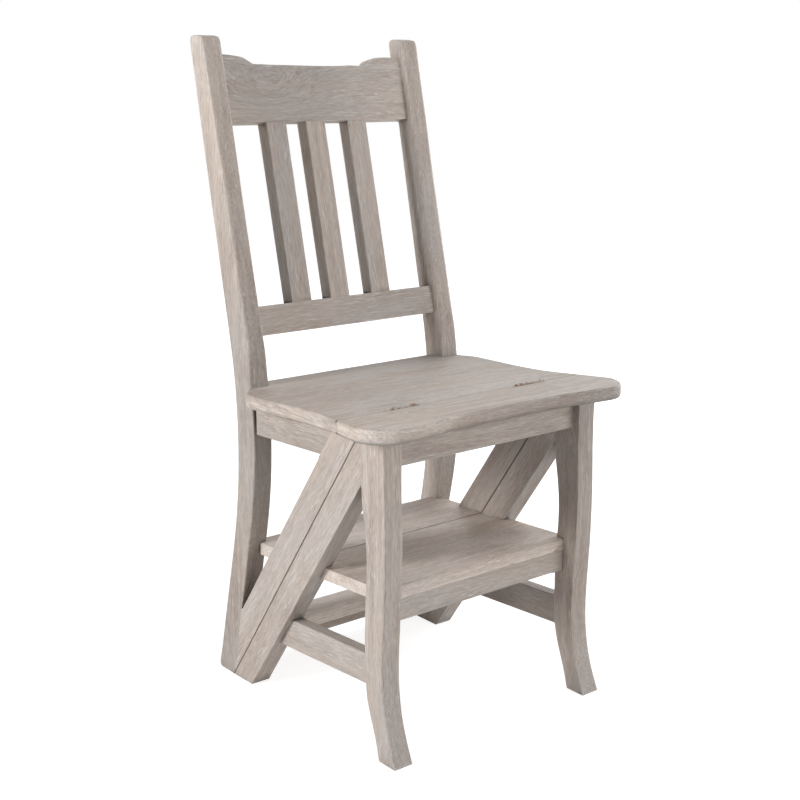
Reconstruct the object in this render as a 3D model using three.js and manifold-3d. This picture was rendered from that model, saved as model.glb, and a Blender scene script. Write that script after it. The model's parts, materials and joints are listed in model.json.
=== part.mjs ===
// Side chair that folds over into library steps, in washed hardwood.
// Millimetres, +Z up. The front faces -Y and the chair's left in this file is -X.
//
// The chair is two frames joined by two butt hinges on a cut across the seat. The rear
// frame turns over forwards by half a turn and then stands on the tops of its posts.
// Every piece is drawn square to the seat. The finished chair is then leaned back by
// the seat's pitch, so that the feet, which are cut to that angle, stand flat.

import * as THREE from 'three';
import { mergeVertices } from 'three/addons/utils/BufferGeometryUtils.js';
import Module from 'manifold-3d';

const wasm = await Module();
wasm.setup();

const radians = THREE.MathUtils.degToRad;

// Fits
const clearance = 0.3;
const overrun = 12;
const splitGap = 0.8;
const mergeDistance = 0.0001;
const tenonRoot = 1;

// Frame as a whole
const frameWidth = 392;
const memberThickness = 29;
const seatTop = 460;
const seatThickness = 20;
const seatPitch = radians(3.31);
const housingDepth = 10;

// Rear posts, each a back leg and a back post in one bent piece
const postBendDrop = 77;
const postBendDepth = 38;
const postBackBendDrop = 14;
const postLowerRake = radians(12);
const postUpperRake = radians(12.35);
const postFrontRadius = 640;
const postBackLowerRake = radians(12.5);
const postBackUpperRake = radians(11);
const postBackRadius = 760;
const postTopDepth = 25;
const postTopRounding = 11;
const heelRounding = 9;

// Front legs, with a square block under the seat and a sabre foot
const legDepth = 45;
const toeReach = 21.2;
const toeFlare = 3.6;
const heelReach = 6.3;
const legFaceShares = [
  [-0.278, 0.055],
  [-0.033, 0.14],
  [0.1, 0.24],
  [0.1, 0.35],
  [0, 0.516],
  [-0.033, 0.68],
  [0, 0.83],
  [0, 1],
];
const legBackShares = [
  [0.233, 0.004],
  [0.4, 0.064],
  [0.64, 0.135],
  [0.81, 0.2],
  [0.88, 0.3],
  [0.87, 0.45],
  [0.78, 0.6],
  [0.84, 0.7],
  [0.975, 0.79],
  [1, 0.85],
  [1, 1],
];

// Slanted joint between the two halves, and the stringers on both sides of it
const splitY = 52.6;
const jointTopY = 46;
const jointRake = radians(35.05);
const frontStringerTopWidth = 40.8;
const frontStringerFootWidth = 37.5;
const rearStringerWidth = 41.8;

// Seat
const seatOverhang = 42;
const seatFrontY = -40;
const seatBackReach = 30;
const seatEdgeRadius = 9.5;
const seatFrontShares = [
  [0, 0.045],
  [0.16, 0.0405],
  [0.33, 0.037],
  [0.48, 0.027],
  [0.62, 0.014],
  [0.74, 0.004],
  [0.83, 0.001],
  [0.895, 0.016],
  [0.945, 0.046],
  [0.982, 0.085],
  [1, 0.125],
];
const seatSideShares = {
  left: [
    [0.988, 0.175],
    [0.973, 0.228],
    [0.95, 0.31],
    [0.935, 0.405],
    [0.925, 0.53],
    [0.932, 0.62],
    [0.944, 0.7],
    [0.948, 0.76],
    [0.942, 0.82],
    [0.915, 0.865],
    [0.86, 0.889],
  ],
  right: [
    [0.978, 0.175],
    [0.952, 0.228],
    [0.91, 0.31],
    [0.868, 0.405],
    [0.852, 0.53],
    [0.856, 0.62],
    [0.866, 0.7],
    [0.872, 0.76],
    [0.872, 0.82],
    [0.858, 0.862],
    [0.836, 0.889],
  ],
};

// Aprons
const apronHeight = 45;
const apronThickness = 20;
const frontApronSetback = 13.2;
const sideApronGap = 7.5;
const rearApronSetback = 9;
const apronTenonThickness = 9;
const apronTenonHeight = 30;
const apronTenonLength = 15;

// Middle step, a front and a rear board with a rail under the front edge
const stepThickness = 17.3;
const midStepTop = 229.3;
const midStepFrontY = 24.8;
const midStepReach = 17;
const stepEdgeRadius = 5;
const midRailDrop = 31.5;
const midRailThickness = 13.6;

// Low step at the foot of the rear half
const lowStepTop = 92;
const lowStepSetback = 1.2;
const lowRailHeight = 30;
const lowRailThickness = 19;
const lowTenonLength = 15;
const lowTenonThickness = 10;
const lowTenonHeight = 18;

// Side stretchers
const stretcherBottom = 95.2;
const stretcherHeight = 43;
const stretcherThickness = 18.3;
const stretcherTenonLength = 14;
const stretcherTenonHeight = 28;
const stretcherTenonThickness = 8;

// Back: rails and slats, set back from the posts' front faces
const railSetback = 7;
const railThickness = 22.5;
const lowerRailRise = 68.7;
const lowerRailHeight = 40.5;
const crestDrop = 100.1;
const crestCentreHeight = 79.2;
const crestShoulderHeight = 92;
const crestStepLeftX = -113;
const crestStepRightX = 103;
const crestStepRun = 30;
const railTenonLength = 15;
const railTenonThickness = 10;
const railTenonInset = 8;
const slatWidth = 33;
const slatThickness = 22;
const slatCentres = { left: -83.5, centre: -13, right: 65 };
const slatTenonLength = 12;
const slatTenonThickness = 9;
const slatTenonInset = 4;

// Hinges
const hingeCentreX = 119;
const hingeLength = 55;
const hingeAxisRise = 0.3;
const knuckleCount = 5;
const knuckleRadius = 3;
const pinRadius = 1.3;
const leafThickness = 1.6;
const leafHeight = 17.5;
const screwHeadRadius = 3;
const screwHeadDepth = 1.4;
const screwShankRadius = 1.5;
const screwLength = 16;
const screwSpacing = 18;
const screwDrop = 9.5;

// Curve fineness
const bendSteps = 14;
const edgeSteps = 26;
const seatSteps = 64;
const roundSteps = 4;
const turnedSides = 12;

// Places worked out from the sizes
const outerX = frameWidth / 2;
const innerX = outerX - memberThickness;
const seatHalfWidth = outerX + seatOverhang;
const housedX = innerX + housingDepth - clearance;
const seatUnderside = seatTop - seatThickness;
const frameTop = seatUnderside - clearance;
const axisZ = seatTop + hingeAxisRise;
const lowerRailBottom = seatTop + lowerRailRise;
const floorSlope = Math.tan(seatPitch);
const midStepBottom = midStepTop - stepThickness;
const lowStepBottom = lowStepTop - stepThickness;
const farAway = 3 * seatTop;
const sides = [
  { name: 'left', sign: -1 },
  { name: 'right', sign: 1 },
];

// Materials
function wood(colour) {
  return new THREE.MeshStandardMaterial({ color: colour, roughness: 0.75, metalness: 0 });
}

function agedBrass() {
  return new THREE.MeshStandardMaterial({ color: 0x5a4a3c, roughness: 0.5, metalness: 0.8 });
}

const washedWood = 0xb0a79f;

// Cutting and joining. Every tool and every piece is a mesh placed in the chair's frame.
function solidOf(mesh) {
  mesh.updateMatrix();
  const geometry = mesh.geometry.clone().applyMatrix4(mesh.matrix);
  geometry.deleteAttribute('normal');
  geometry.deleteAttribute('uv');
  const merged = mergeVertices(geometry, mergeDistance);
  const vertProperties = new Float32Array(merged.attributes.position.array);
  const triVerts = new Uint32Array(merged.index.array);
  return new wasm.Manifold(new wasm.Mesh({ numProp: 3, vertProperties, triVerts }));
}

function reshape(mesh, operation, tools) {
  let solid = solidOf(mesh);
  for (const tool of tools) {
    solid = solid[operation](solidOf(tool));
  }
  const { vertProperties, triVerts } = solid.getMesh();
  const geometry = new THREE.BufferGeometry();
  geometry.setAttribute('position', new THREE.BufferAttribute(vertProperties, 3));
  geometry.setIndex(new THREE.BufferAttribute(triVerts, 1));
  geometry.applyMatrix4(mesh.matrix.clone().invert());
  geometry.computeVertexNormals();
  mesh.geometry = geometry;
  return mesh;
}

const cut = (mesh, tools) => reshape(mesh, 'subtract', tools);
const join = (mesh, tools) => reshape(mesh, 'add', tools);

function named(name, mesh, material) {
  mesh.name = name;
  mesh.material = material;
  return mesh;
}

// A rectangular block between limits [low, high] in x, y and z
function block(x, y, z) {
  const mesh = new THREE.Mesh(new THREE.BoxGeometry(x[1] - x[0], y[1] - y[0], z[1] - z[0]));
  mesh.position.set((x[0] + x[1]) / 2, (y[0] + y[1]) / 2, (z[0] + z[1]) / 2);
  return mesh;
}

// The same limits with the clearance added all round
const eased = (...limits) => limits.map(([low, high]) => [low - clearance, high + clearance]);

// Limits on the left or right side of the chair, for an x range measured from the middle
const mirrored = (sign, [near, far]) => (sign > 0 ? [near, far] : [-far, -near]);

// An outline in the Y-Z plane, given a thickness along X about the middle of the piece
const sideways = new THREE.Matrix4().makeBasis(
  new THREE.Vector3(0, 1, 0),
  new THREE.Vector3(0, 0, 1),
  new THREE.Vector3(1, 0, 0),
);

function profiled(shape, thickness) {
  const geometry = new THREE.ExtrudeGeometry(shape, { depth: thickness, bevelEnabled: false });
  geometry.translate(0, 0, -thickness / 2);
  geometry.applyMatrix4(sideways);
  return new THREE.Mesh(geometry);
}

// Edges of the legs and posts, as points of Y and Z from the foot upwards
function bentEdge(y, z, lowerRake, upperRake, radius, top) {
  const tangent = radius * Math.tan((lowerRake + upperRake) / 2);
  const centreY = y + tangent * Math.sin(lowerRake) + radius * Math.cos(lowerRake);
  const centreZ = z - tangent * Math.cos(lowerRake) + radius * Math.sin(lowerRake);
  const points = [new THREE.Vector2(y + (z + overrun) * Math.tan(lowerRake), -overrun)];
  for (let step = 0; step <= bendSteps; step += 1) {
    const angle = THREE.MathUtils.lerp(lowerRake, -upperRake, step / bendSteps);
    const pointY = centreY - radius * Math.cos(angle);
    points.push(new THREE.Vector2(pointY, centreZ - radius * Math.sin(angle)));
  }
  points.push(new THREE.Vector2(y + (top - z) * Math.tan(upperRake), top));
  return points;
}

function sharedEdge(shares, footPoints) {
  const scaled = shares.map(([y, z]) => new THREE.Vector2(y * legDepth, z * seatUnderside));
  return new THREE.SplineCurve([...footPoints, ...scaled]).getPoints(edgeSteps);
}

function edgeAt(points, z) {
  const above = Math.max(1, points.findIndex((point) => point.y >= z));
  const [low, high] = [points[above - 1], points[above]];
  return THREE.MathUtils.mapLinear(z, low.y, high.y, low.x, high.x);
}

const shifted = (points, y) => points.map((point) => new THREE.Vector2(point.x + y, point.y));

// Floor under the pitched feet, rising to the rear as seen square to the seat
const floorZ = (y) => floorSlope * (y + toeReach);

function floorBlock() {
  const geometry = new THREE.BoxGeometry(farAway, farAway, farAway);
  geometry.translate(0, 0, -farAway / 2);
  const mesh = new THREE.Mesh(geometry);
  mesh.position.set(0, -toeReach, 0);
  mesh.rotation.x = seatPitch;
  return mesh;
}

// The slanted joint plane runs from under the seat down to the rear feet. The front
// stringer tapers a little towards its foot.
const jointSlope = Math.tan(jointRake);
const jointY = (z) => jointTopY + (seatUnderside - z) * jointSlope;
const jointFront = (z) => jointY(z) - splitGap / 2;
const jointRear = (z) => jointY(z) + splitGap / 2;
const stringerBack = (z) => jointRear(z) + rearStringerWidth / Math.cos(jointRake);

function stringerFace(z) {
  const width = THREE.MathUtils.lerp(
    frontStringerFootWidth, frontStringerTopWidth, z / seatUnderside);
  return jointFront(z) - width / Math.cos(jointRake);
}

function betweenLines(frontLine, backLine, bottom, top, thickness) {
  const corners = [
    new THREE.Vector2(frontLine(bottom), bottom),
    new THREE.Vector2(backLine(bottom), bottom),
    new THREE.Vector2(backLine(top), top),
    new THREE.Vector2(frontLine(top), top),
  ];
  return profiled(new THREE.Shape(corners), thickness);
}

const allBehindJoint = () =>
  betweenLines(jointFront, () => farAway, -overrun, frameTop + overrun, farAway);
const allBeforeJoint = () =>
  betweenLines(() => -farAway, jointRear, -overrun, frameTop + overrun, farAway);

// Outlines shared by several pieces
const toe = new THREE.Vector2(-toeReach, 0);
const belowToe = new THREE.Vector2(-toeReach - toeFlare, -overrun / 2);
const belowHeel = new THREE.Vector2(heelReach, -overrun / 2);
const legFace = sharedEdge(legFaceShares, [belowToe, toe]);
const legBack = sharedEdge(legBackShares, [belowHeel]);

// The posts' front edges start where the joint plane meets the floor
const footReach = jointTopY + jointSlope * (seatUnderside - floorSlope * toeReach);
const footY = footReach / (1 + jointSlope * floorSlope);
const postBendZ = seatTop - postBendDrop;
const postBendY = footY - Math.tan(postLowerRake) * (postBendZ - floorZ(footY));

// The posts are so high that their tops reach the floor when the rear half is turned over
const topSlope = Math.tan(postUpperRake);
const levelTopY = postBendY + postTopDepth / 2 - topSlope * postBendZ;
const turnedReach = 2 * splitY - levelTopY + toeReach;
const postTop = (2 * axisZ - floorSlope * turnedReach) / (1 - floorSlope * topSlope);
const crestBottom = 2 * axisZ - crestDrop;

const postFront = bentEdge(
  postBendY, postBendZ, postLowerRake, postUpperRake, postFrontRadius, postTop);
const postBackY = postBendY + postBendDepth;
const postBackZ = postBendZ - postBackBendDrop;
const postBack = bentEdge(
  postBackY, postBackZ, postBackLowerRake, postBackUpperRake, postBackRadius, postTop);

function behindPostFront() {
  const front = shifted(postFront, -clearance);
  const rear = [new THREE.Vector2(farAway, postTop), new THREE.Vector2(farAway, -overrun)];
  return profiled(new THREE.Shape([...front, ...rear]), farAway);
}

// Places in the leaning back: y is measured square to the posts' front faces, and z
// runs up along them
const backOrigin = new THREE.Vector3(0, postBendY, postBendZ);
const alongBack = (height) => (height - postBendZ) / Math.cos(postUpperRake);
const backHeight = (size) => size / Math.cos(postUpperRake);

function leaned(mesh) {
  mesh.updateMatrix();
  mesh.geometry.applyMatrix4(mesh.matrix);
  mesh.rotation.set(-postUpperRake, 0, 0);
  mesh.position.copy(backOrigin);
  return mesh;
}

const leanedBlock = (x, y, z) => leaned(block(x, y, z));

const railFace = railSetback;
const railBack = railSetback + railThickness;
const lowerRailSpan = [alongBack(lowerRailBottom), alongBack(lowerRailBottom + lowerRailHeight)];
const crestFoot = alongBack(crestBottom);
const tenonDepth = [
  railFace + (railThickness - railTenonThickness) / 2,
  railFace + (railThickness + railTenonThickness) / 2,
];

function railTenonLimits(sign, bottom, top) {
  const x = mirrored(sign, [innerX - clearance - tenonRoot, innerX + railTenonLength]);
  return [x, tenonDepth, [bottom + railTenonInset, top - railTenonInset]];
}

const crestTenonTop = crestFoot + backHeight(crestCentreHeight);

// Seat
const seatRearY = edgeAt(postFront, seatTop) + seatBackReach;

function seatOutline() {
  const depth = seatRearY - seatFrontY;
  const placed = (shares, sign) => shares.map(
    ([x, y]) => new THREE.Vector2(sign * x * seatHalfWidth, seatFrontY + y * depth));
  const left = placed([...seatFrontShares.slice(1), ...seatSideShares.left], -1);
  const right = placed([...seatFrontShares, ...seatSideShares.right], 1);
  const rounded = new THREE.SplineCurve([...left.reverse(), ...right]).getPoints(2 * seatSteps);
  const rear = [new THREE.Vector2(outerX, seatRearY), new THREE.Vector2(-outerX, seatRearY)];
  return new THREE.Shape([...rounded, ...rear]);
}

function seatSlab() {
  const geometry = new THREE.ExtrudeGeometry(seatOutline(), {
    depth: seatThickness - 2 * seatEdgeRadius,
    bevelThickness: seatEdgeRadius,
    bevelSize: seatEdgeRadius,
    bevelOffset: -seatEdgeRadius,
    bevelSegments: roundSteps,
  });
  geometry.translate(0, 0, seatUnderside + seatEdgeRadius);
  return new THREE.Mesh(geometry);
}

function postNotch(sign) {
  const face = Math.min(edgeAt(postFront, seatUnderside), edgeAt(postFront, seatTop));
  const x = mirrored(sign, [innerX - clearance, farAway]);
  return block(x, [face - clearance, farAway], [seatUnderside - overrun, seatTop + overrun]);
}

const acrossSeat = [-farAway, farAway];
const throughSeat = [seatUnderside - overrun, seatTop + overrun];

function seatFrontBoard() {
  const behind = block(acrossSeat, [splitY - splitGap / 2, farAway], throughSeat);
  return cut(seatSlab(), [behind, ...hingeRecesses(-1)]);
}

function seatRearBoard() {
  const before = block(acrossSeat, [-farAway, splitY + splitGap / 2], throughSeat);
  const notches = sides.map(({ sign }) => postNotch(sign));
  return cut(seatSlab(), [before, ...notches, ...hingeRecesses(1)]);
}

// Aprons
const apronBottom = seatUnderside - apronHeight;
const apronMiddle = (apronBottom + frameTop) / 2;
const apronTenonZ = [apronMiddle - apronTenonHeight / 2, apronMiddle + apronTenonHeight / 2];

function apronTenonLimits(sign, middleY) {
  const x = mirrored(sign, [innerX - clearance - tenonRoot, innerX + apronTenonLength]);
  const half = apronTenonThickness / 2;
  return [x, [middleY - half, middleY + half], apronTenonZ];
}

const frontApronMiddle = frontApronSetback + apronThickness / 2;
const rearApronFace = edgeAt(postFront, apronMiddle) + rearApronSetback;
const rearApronMiddle = rearApronFace + apronThickness / 2;

function crossApron(face) {
  const width = innerX - clearance;
  const mesh = block([-width, width], [face, face + apronThickness], [apronBottom, frameTop]);
  const middle = face + apronThickness / 2;
  return join(mesh, sides.map(({ sign }) => block(...apronTenonLimits(sign, middle))));
}

function sideApron(sign) {
  const back = () => edgeAt(postFront, frameTop) - sideApronGap;
  const face = (z) => stringerBack(z) + clearance;
  const mesh = betweenLines(face, back, apronBottom, frameTop, apronThickness);
  mesh.position.x = sign * (outerX - apronThickness / 2);
  return mesh;
}

// Front legs
function frontLeg(sign) {
  const outline = new THREE.Shape([...legFace, ...legBack.slice().reverse()]);
  const leg = profiled(outline, memberThickness);
  leg.position.x = sign * (outerX - memberThickness / 2);
  const inward = mirrored(sign, [innerX - overrun, innerX + housingDepth]);
  const railZ = [midStepBottom - midRailDrop, midStepTop];
  const housing = block(inward, ...eased([midStepFrontY, legDepth + overrun], railZ));
  return cut(leg, [
    floorBlock(),
    block(acrossSeat, [-farAway, farAway], [frameTop, farAway]),
    housing,
    block(...eased(...apronTenonLimits(sign, frontApronMiddle))),
    block(...eased(...legTenonLimits(sign))),
  ]);
}

// Side stretchers
const stretcherTop = stretcherBottom + stretcherHeight;
const stretcherMiddle = (stretcherBottom + stretcherTop) / 2;
const stretcherTenonZ = [
  stretcherMiddle - stretcherTenonHeight / 2,
  stretcherMiddle + stretcherTenonHeight / 2,
];

function stretcherTenonX(sign) {
  const middle = innerX + stretcherThickness / 2;
  const half = stretcherTenonThickness / 2;
  return mirrored(sign, [middle - half, middle + half]);
}

function legTenonLimits(sign) {
  const shoulder = edgeAt(legBack, stretcherMiddle);
  const y = [shoulder - stretcherTenonLength, shoulder + stretcherTenonLength];
  return [stretcherTenonX(sign), y, stretcherTenonZ];
}

function stringerTenonLimits(sign) {
  const shoulder = stringerFace(stretcherMiddle);
  const y = [shoulder - stretcherTenonLength, shoulder + stretcherTenonLength];
  return [stretcherTenonX(sign), y, [stretcherTenonZ[0], stretcherMiddle]];
}

function sideStretcher(sign) {
  const rearLine = (z) => stringerFace(z) - clearance;
  const frontEdge = legBack.filter((point) => point.y > stretcherBottom && point.y < stretcherTop);
  const outline = new THREE.Shape([
    new THREE.Vector2(edgeAt(legBack, stretcherTop) + clearance, stretcherTop),
    ...shifted(frontEdge, clearance).reverse(),
    new THREE.Vector2(edgeAt(legBack, stretcherBottom) + clearance, stretcherBottom),
    new THREE.Vector2(rearLine(stretcherBottom), stretcherBottom),
    new THREE.Vector2(rearLine(stretcherTop), stretcherTop),
  ]);
  const mesh = profiled(outline, stretcherThickness);
  mesh.position.x = sign * (innerX + stretcherThickness / 2);
  return join(mesh, [block(...legTenonLimits(sign)), block(...stringerTenonLimits(sign))]);
}

// Stringers
function stepHousing(sign, bottom, top) {
  const inward = mirrored(sign, [innerX - overrun, innerX + housingDepth]);
  return block(inward, [-farAway, farAway], [bottom - clearance, top + clearance]);
}

function frontStringer(sign) {
  const mesh = betweenLines(stringerFace, jointFront, -overrun, frameTop, memberThickness);
  mesh.position.x = sign * (outerX - memberThickness / 2);
  return cut(mesh, [
    floorBlock(),
    block(acrossSeat, [-farAway, legDepth + clearance], [-overrun, farAway]),
    stepHousing(sign, midStepBottom, midStepTop),
    block(...eased(...stringerTenonLimits(sign))),
  ]);
}

function rearStringer(sign) {
  const mesh = betweenLines(jointRear, stringerBack, -overrun, frameTop, memberThickness);
  mesh.position.x = sign * (outerX - memberThickness / 2);
  return cut(mesh, [
    floorBlock(),
    behindPostFront(),
    stepHousing(sign, midStepBottom, midStepTop),
    stepHousing(sign, lowStepBottom, lowStepTop),
  ]);
}

// Rear posts
function roundedTop() {
  const axis = new THREE.Vector2(Math.sin(postUpperRake), Math.cos(postUpperRake));
  const face = new THREE.Vector2(edgeAt(postFront, postTop), postTop);
  const back = new THREE.Vector2(edgeAt(postBack, postTop), postTop);
  const faceStart = face.clone().addScaledVector(axis, -postTopRounding);
  const backStart = back.clone().addScaledVector(axis, -postTopRounding);
  const faceEnd = face.clone().lerp(back, postTopRounding / back.distanceTo(face));
  const backEnd = back.clone().lerp(face, postTopRounding / back.distanceTo(face));
  const frontArc = new THREE.QuadraticBezierCurve(faceStart, face, faceEnd);
  const backArc = new THREE.QuadraticBezierCurve(backEnd, back, backStart);
  return [...frontArc.getPoints(roundSteps), ...backArc.getPoints(roundSteps)];
}

function roundedHeel() {
  const backSlope = Math.tan(postBackLowerRake);
  const reach = postBackY + backSlope * (postBackZ - floorSlope * toeReach);
  const y = reach / (1 + backSlope * floorSlope);
  const corner = new THREE.Vector2(y, floorZ(y));
  const up = new THREE.Vector2(-Math.sin(postBackLowerRake), Math.cos(postBackLowerRake));
  const forward = new THREE.Vector2(-Math.cos(seatPitch), -Math.sin(seatPitch));
  const start = corner.clone().addScaledVector(up, heelRounding);
  const end = corner.clone().addScaledVector(forward, heelRounding);
  const below = new THREE.Vector2(end.x, -overrun);
  return [...new THREE.QuadraticBezierCurve(start, corner, end).getPoints(roundSteps), below];
}

function rearPost(sign) {
  const outline = new THREE.Shape([
    ...postFront.slice(0, -1),
    ...roundedTop(),
    ...postBack.slice(1, -1).reverse(),
    ...roundedHeel(),
  ]);
  const post = profiled(outline, memberThickness);
  post.position.x = sign * (outerX - memberThickness / 2);
  const inward = mirrored(sign, [innerX - overrun, innerX + housingDepth]);
  const lowStepY = [-farAway, edgeAt(postBack, lowStepTop)];
  return cut(post, [
    floorBlock(),
    allBeforeJoint(),
    block(...eased(...apronTenonLimits(sign, rearApronMiddle))),
    leanedBlock(...eased(...railTenonLimits(sign, ...lowerRailSpan))),
    leanedBlock(...eased(...railTenonLimits(sign, crestFoot, crestTenonTop))),
    block(inward, lowStepY, [lowStepBottom - clearance, lowStepTop + clearance]),
    block(...eased(...lowRailTenonLimits(sign))),
  ]);
}

// Steps
function stepBoard(frontY, rearY, bottom, top) {
  const shape = new THREE.Shape();
  shape.moveTo(frontY, bottom);
  shape.lineTo(rearY, bottom);
  shape.lineTo(rearY, top);
  shape.absarc(
    frontY + stepEdgeRadius, top - stepEdgeRadius, stepEdgeRadius, Math.PI / 2, Math.PI, false);
  return profiled(shape, 2 * housedX);
}

function midStepFrontBoard() {
  const board = stepBoard(midStepFrontY, stringerBack(midStepBottom), midStepBottom, midStepTop);
  return cut(board, [allBehindJoint()]);
}

function midStepRail() {
  const face = midStepFrontY + clearance;
  const top = midStepBottom - clearance;
  const z = [midStepBottom - midRailDrop, top];
  return block([-housedX, housedX], [face, face + midRailThickness], z);
}

function midStepRearBoard() {
  const postFace = edgeAt(postFront, midStepTop);
  const y = [jointRear(midStepTop) - splitGap, postFace + midStepReach];
  const board = block([-housedX, housedX], y, [midStepBottom, midStepTop]);
  const notches = sides.map(({ sign }) => {
    const x = mirrored(sign, [innerX - clearance, farAway]);
    return block(x, [postFace - clearance, farAway], [-overrun, seatTop]);
  });
  return cut(board, [allBeforeJoint(), ...notches]);
}

const lowStepRearY = edgeAt(postBack, lowStepTop) - lowStepSetback;

function lowStepBoard() {
  const frontY = jointRear(lowStepBottom) + clearance;
  return block([-housedX, housedX], [frontY, lowStepRearY], [lowStepBottom, lowStepTop]);
}

const lowRailTop = lowStepBottom - clearance;

function lowRailTenonLimits(sign) {
  const middleY = lowStepRearY - lowRailThickness / 2;
  const middleZ = lowRailTop - lowRailHeight / 2;
  return [
    mirrored(sign, [innerX - clearance - tenonRoot, innerX + lowTenonLength]),
    [middleY - lowTenonThickness / 2, middleY + lowTenonThickness / 2],
    [middleZ - lowTenonHeight / 2, middleZ + lowTenonHeight / 2],
  ];
}

function lowStepRail() {
  const width = innerX - clearance;
  const y = [lowStepRearY - lowRailThickness, lowStepRearY];
  const rail = block([-width, width], y, [lowRailTop - lowRailHeight, lowRailTop]);
  return join(rail, sides.map(({ sign }) => block(...lowRailTenonLimits(sign))));
}

// Back rails and slats
function slatTenonLimits(centre, [bottom, top]) {
  const half = slatWidth / 2 - slatTenonInset;
  const middle = railFace + slatThickness / 2;
  const depth = [middle - slatTenonThickness / 2, middle + slatTenonThickness / 2];
  return [[centre - half, centre + half], depth, [bottom - slatTenonLength, top + slatTenonLength]];
}

const slatSpan = [lowerRailSpan[1] + clearance, crestFoot - clearance];
const slatMortises = () => Object.values(slatCentres).map(
  (centre) => leanedBlock(...eased(...slatTenonLimits(centre, slatSpan))));

function lowerBackRail() {
  const width = innerX - clearance;
  const rail = leanedBlock([-width, width], [railFace, railBack], lowerRailSpan);
  join(rail, sides.map(({ sign }) => leanedBlock(...railTenonLimits(sign, ...lowerRailSpan))));
  return cut(rail, slatMortises());
}

// The crest's top edge is low in the middle and rises by an ogee to a shoulder at each post
function crestRail() {
  const width = innerX - clearance;
  const low = crestFoot + backHeight(crestCentreHeight);
  const high = crestFoot + backHeight(crestShoulderHeight);
  const bulge = crestStepRun / 2;
  const shape = new THREE.Shape();
  shape.moveTo(-width, crestFoot);
  shape.lineTo(width, crestFoot);
  shape.lineTo(width, high);
  const rightTop = crestStepRightX + bulge;
  const rightFoot = crestStepRightX - bulge;
  shape.lineTo(rightTop, high);
  shape.bezierCurveTo(crestStepRightX, high, crestStepRightX, low, rightFoot, low);
  const leftTop = crestStepLeftX - bulge;
  const leftFoot = crestStepLeftX + bulge;
  shape.lineTo(leftFoot, low);
  shape.bezierCurveTo(crestStepLeftX, low, crestStepLeftX, high, leftTop, high);
  shape.lineTo(-width, high);
  const geometry = new THREE.ExtrudeGeometry(shape, {
    depth: railThickness, bevelEnabled: false, curveSegments: 2 * roundSteps });
  geometry.rotateX(Math.PI / 2);
  geometry.translate(0, railBack, 0);
  const rail = leaned(new THREE.Mesh(geometry));
  const tenons = sides.map(
    ({ sign }) => leanedBlock(...railTenonLimits(sign, crestFoot, crestTenonTop)));
  join(rail, tenons);
  return cut(rail, slatMortises());
}

function backSlat(centre) {
  const x = [centre - slatWidth / 2, centre + slatWidth / 2];
  const slat = leanedBlock(x, [railFace, railFace + slatThickness], slatSpan);
  return join(slat, [leanedBlock(...slatTenonLimits(centre, insetSpan()))]);
}

// The tenons stop short of the mortises' ends
const insetSpan = () => [slatSpan[0] + clearance, slatSpan[1] - clearance];

// Hinges: two leaves let into the board edges, with the axis just above the seat
function rod(radius, x0, x1) {
  const geometry = new THREE.CylinderGeometry(radius, radius, x1 - x0, 2 * turnedSides);
  geometry.rotateZ(Math.PI / 2);
  const mesh = new THREE.Mesh(geometry);
  mesh.position.set((x0 + x1) / 2, splitY, axisZ);
  return mesh;
}

function hingeEnds(sign) {
  const centre = sign * hingeCentreX;
  return [centre - hingeLength / 2, centre + hingeLength / 2];
}

function knuckleSpan(sign, index) {
  const [start] = hingeEnds(sign);
  const pitch = hingeLength / knuckleCount;
  return [start + index * pitch, start + (index + 1) * pitch];
}

function leafLimits(sign, half) {
  const face = splitY + half * clearance / 2;
  const y = half > 0 ? [face, face + leafThickness] : [face - leafThickness, face];
  return [hingeEnds(sign), y, [axisZ - leafHeight, axisZ]];
}

// Knuckles 0, 2 and 4 belong to the front leaf, and 1 and 3 to the rear leaf
function hingeLeaf(sign, half) {
  const leaf = block(...leafLimits(sign, half));
  const own = [];
  const other = [];
  for (let index = 0; index < knuckleCount; index += 1) {
    const [x0, x1] = knuckleSpan(sign, index);
    const isOwn = (index % 2 === 0) === (half < 0);
    if (isOwn) {
      own.push(rod(knuckleRadius, x0 + clearance / 2, x1 - clearance / 2));
    } else {
      other.push(rod(knuckleRadius + clearance, x0 - clearance / 2, x1 + clearance / 2));
    }
  }
  join(leaf, own);
  const [start, end] = hingeEnds(sign);
  const bore = rod(pinRadius + clearance, start - overrun, end + overrun);
  const sinks = screwPlaces(sign).map((x) => screwAt(x, half, clearance));
  return cut(leaf, [...other, bore, ...sinks]);
}

function hingePin(sign) {
  const [start, end] = hingeEnds(sign);
  return rod(pinRadius, start + clearance, end - clearance);
}

function screwPlaces(sign) {
  return [-1, 0, 1].map((step) => sign * hingeCentreX + step * screwSpacing);
}

// A countersunk screw lying along Y, its head flush with the leaf's free face
function screwAt(x, half, ease) {
  const head = screwHeadRadius + ease;
  const shank = screwShankRadius + ease;
  const profile = [
    new THREE.Vector2(0, -ease),
    new THREE.Vector2(head, -ease),
    new THREE.Vector2(head, 0),
    new THREE.Vector2(shank, screwHeadDepth),
    new THREE.Vector2(shank, screwLength - screwShankRadius + ease),
    new THREE.Vector2(0, screwLength + ease),
  ];
  const points = ease > 0 ? profile : profile.slice(0, 1).concat(profile.slice(2));
  const geometry = new THREE.LatheGeometry(points, turnedSides);
  const mesh = new THREE.Mesh(geometry);
  mesh.position.set(x, splitY + half * clearance / 2, seatTop - screwDrop);
  mesh.rotation.x = half > 0 ? 0 : Math.PI;
  return mesh;
}

function hingeRecesses(half) {
  return sides.flatMap(({ sign }) => {
    const [start, end] = hingeEnds(sign);
    return [
      block(...eased(...leafLimits(sign, half))),
      rod(knuckleRadius + clearance, start - clearance, end + clearance),
      ...screwPlaces(sign).map((x) => screwAt(x, half, clearance)),
    ];
  });
}

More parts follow.
